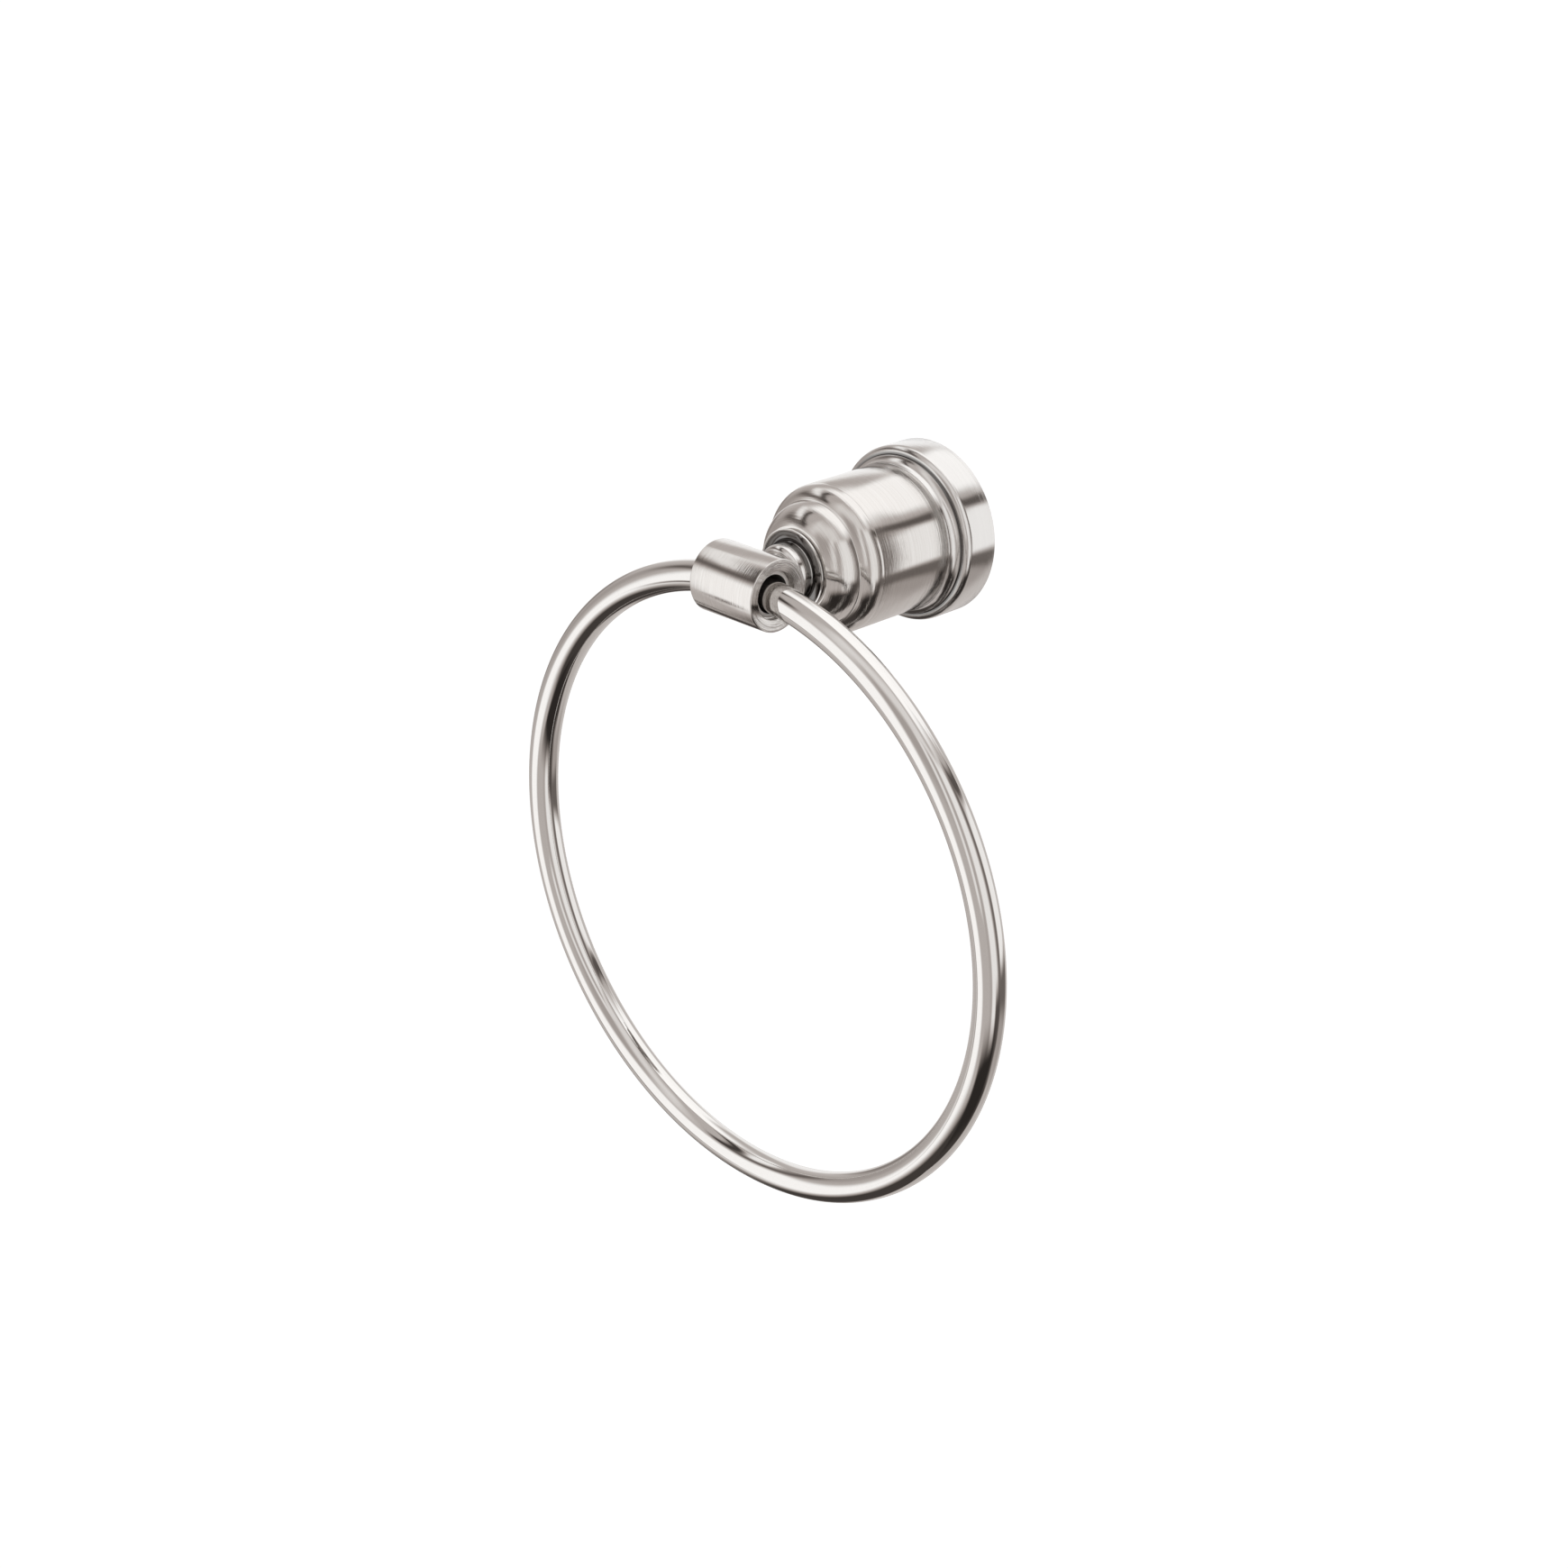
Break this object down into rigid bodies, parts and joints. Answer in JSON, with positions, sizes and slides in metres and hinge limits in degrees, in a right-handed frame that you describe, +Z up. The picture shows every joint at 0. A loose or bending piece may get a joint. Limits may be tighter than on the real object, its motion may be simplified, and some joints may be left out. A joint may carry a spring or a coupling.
{
  "type": "towel ring",
  "caption": "Wall-mounted towel ring: a turned post with a domed cap carries a cross barrel, from which a round metal ring hangs and swings.",
  "frame": {"origin": "centre of the wall flange's back face, on the wall and on the post's axis", "axes": "+X to the right along the wall as seen from the room, +Y into the wall, +Z up"},
  "size_m": [0.165, 0.0708, 0.1831],
  "materials": {
    "brushed_nickel": "brushed nickel, fine lines round the post",
    "satin_nickel": "satin nickel",
    "polished_nickel": "polished nickel",
    "ring_nickel": "satin polished nickel",
    "liner": "pale grey nylon",
    "plated_steel": "bright zinc plate",
    "dark_steel": "dark oxide"
  },
  "bodies": {
    "post": {"wall_plate": "plated_steel", "wall_flange": "satin_nickel", "body_sleeve": "brushed_nickel", "dome_cap": "polished_nickel", "collar_ring": "polished_nickel", "ring_holder": "satin_nickel", "bush_right": "liner", "bush_left": "liner", "tie_bolt": "plated_steel", "spring_washer": "plated_steel", "set_screw": "dark_steel"},
    "ring": {"towel_ring": "ring_nickel"}
  },
  "joints": [
    {"name": "ring_swing", "type": "hinge", "parent": "post", "child": "ring", "pos_m": [0, -0.062, 0], "axis": [1, 0, 0], "range_deg": [-201.5, 21.5]}
  ]
}
